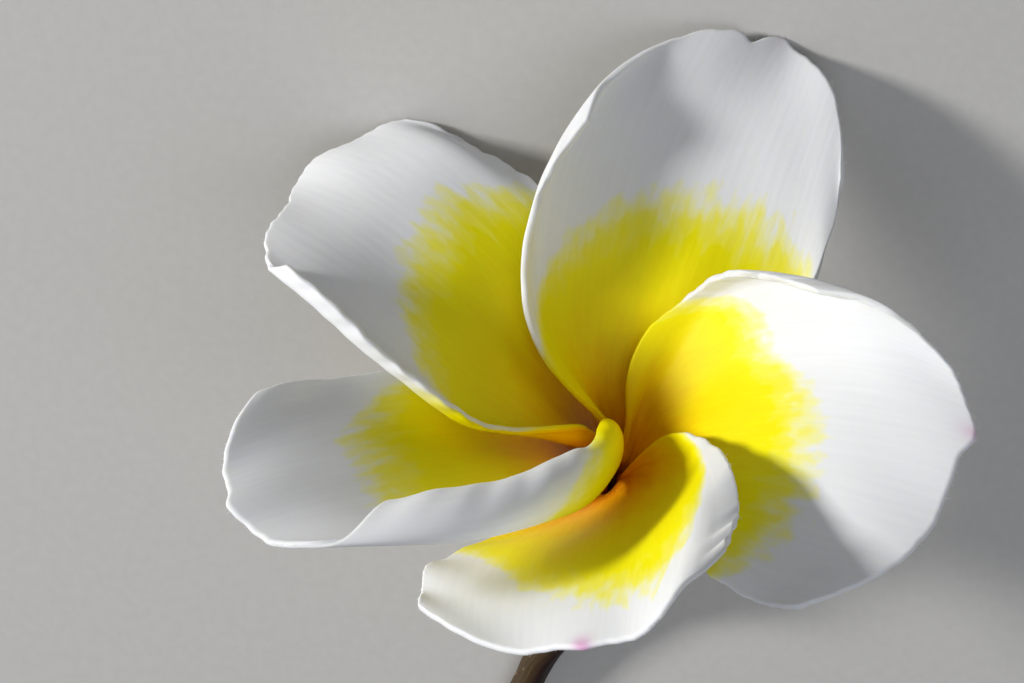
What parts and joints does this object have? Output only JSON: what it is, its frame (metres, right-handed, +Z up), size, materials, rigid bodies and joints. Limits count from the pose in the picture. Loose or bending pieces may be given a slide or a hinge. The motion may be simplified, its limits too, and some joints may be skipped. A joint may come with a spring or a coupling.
{
  "type": "plumeria flower",
  "caption": "Picked plumeria bloom with broad pinwheel petals, white with a yellow centre, on a slim tube, small calyx and bent stalk, lying on its petals and stalk.",
  "frame": {"origin": "middle of the bounding box at the surface that the bloom lies on", "axes": "+Z up from the surface; the open face of the bloom leans towards -Y and upwards, and its stalk points to +Y"},
  "size_m": [0.07, 0.0773, 0.0635],
  "materials": {
    "petal_blade": "waxy satin, white with a yellow base that turns orange at the throat",
    "tube_yellow": "smooth satin, yellow at the mouth to pale green below",
    "pistil_green": "matte, pale green",
    "calyx_green": "smooth satin green with reddish lobes",
    "stalk_skin": "smooth satin, dark red-brown over olive green"
  },
  "bodies": {
    "root": {"petal_1": "petal_blade", "petal_2": "petal_blade", "petal_3": "petal_blade", "petal_4": "petal_blade", "petal_5": "petal_blade", "corolla_tube": "tube_yellow", "pistil": "pistil_green", "calyx": "calyx_green", "pedicel": "stalk_skin"}
  },
  "joints": []
}
